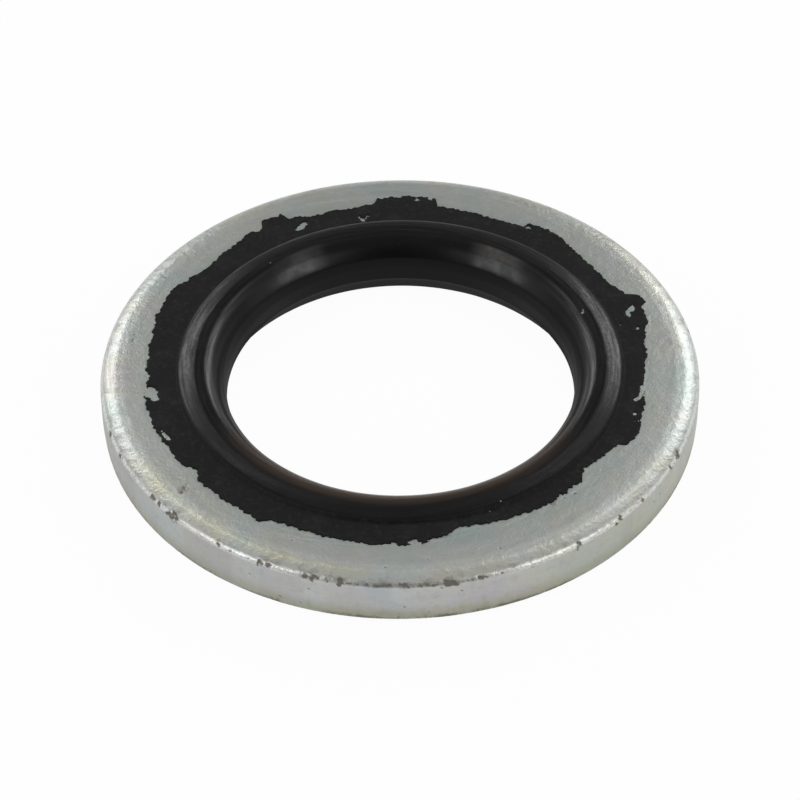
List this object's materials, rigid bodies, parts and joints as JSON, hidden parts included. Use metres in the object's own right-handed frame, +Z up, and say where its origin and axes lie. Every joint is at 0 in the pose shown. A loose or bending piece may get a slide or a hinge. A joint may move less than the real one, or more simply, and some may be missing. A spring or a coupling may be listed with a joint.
{
  "type": "bonded sealing washer",
  "caption": "Flat zinc-plated steel sealing washer with a black rubber lip seal bonded in its bore; seals under a screw or plug.",
  "frame": {"origin": "on the washer's axis, in the plane that it rests on, which is the flat crest of the seal's lower lip", "axes": "+Z up along the bore's axis, out of the face that carries the rubber flash; -Y is the front"},
  "size_m": [0.022, 0.022, 0.0025],
  "materials": {
    "zinc_plate": "satin zinc plate, worn and pitted at the rim",
    "seal_rubber": "moulded black rubber, satin"
  },
  "bodies": {
    "root": {"metal_ring": "zinc_plate", "rubber_seal": "seal_rubber"}
  },
  "joints": []
}
